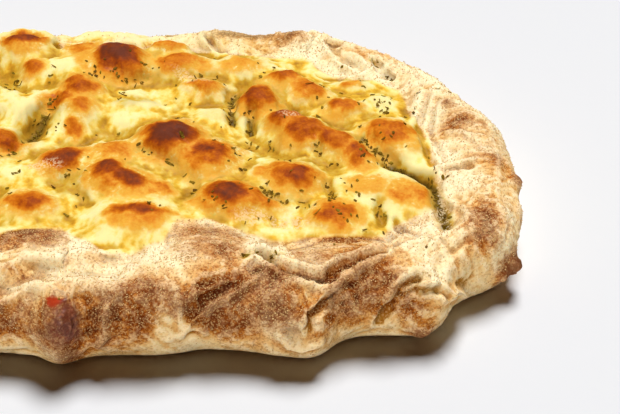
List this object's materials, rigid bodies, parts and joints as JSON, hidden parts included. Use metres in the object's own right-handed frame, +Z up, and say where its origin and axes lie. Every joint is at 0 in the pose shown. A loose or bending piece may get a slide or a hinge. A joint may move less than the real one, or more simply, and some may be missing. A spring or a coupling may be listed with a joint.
{
  "type": "focaccia",
  "caption": "Long oval focaccia with a puffed, floury, folded rim, a blistered golden crumb browned in spots, and dried herb flakes.",
  "frame": {"origin": "on the surface it rests on, under the middle of the bread's box", "axes": "+X along the bread's length, +Z up"},
  "size_m": [0.3984, 0.245, 0.0512],
  "materials": {
    "baked_dough": "baked bread: pale golden dough, floury rim, browned blisters, a little oil"
  },
  "bodies": {
    "root": {"focaccia": "baked_dough"}
  },
  "joints": []
}
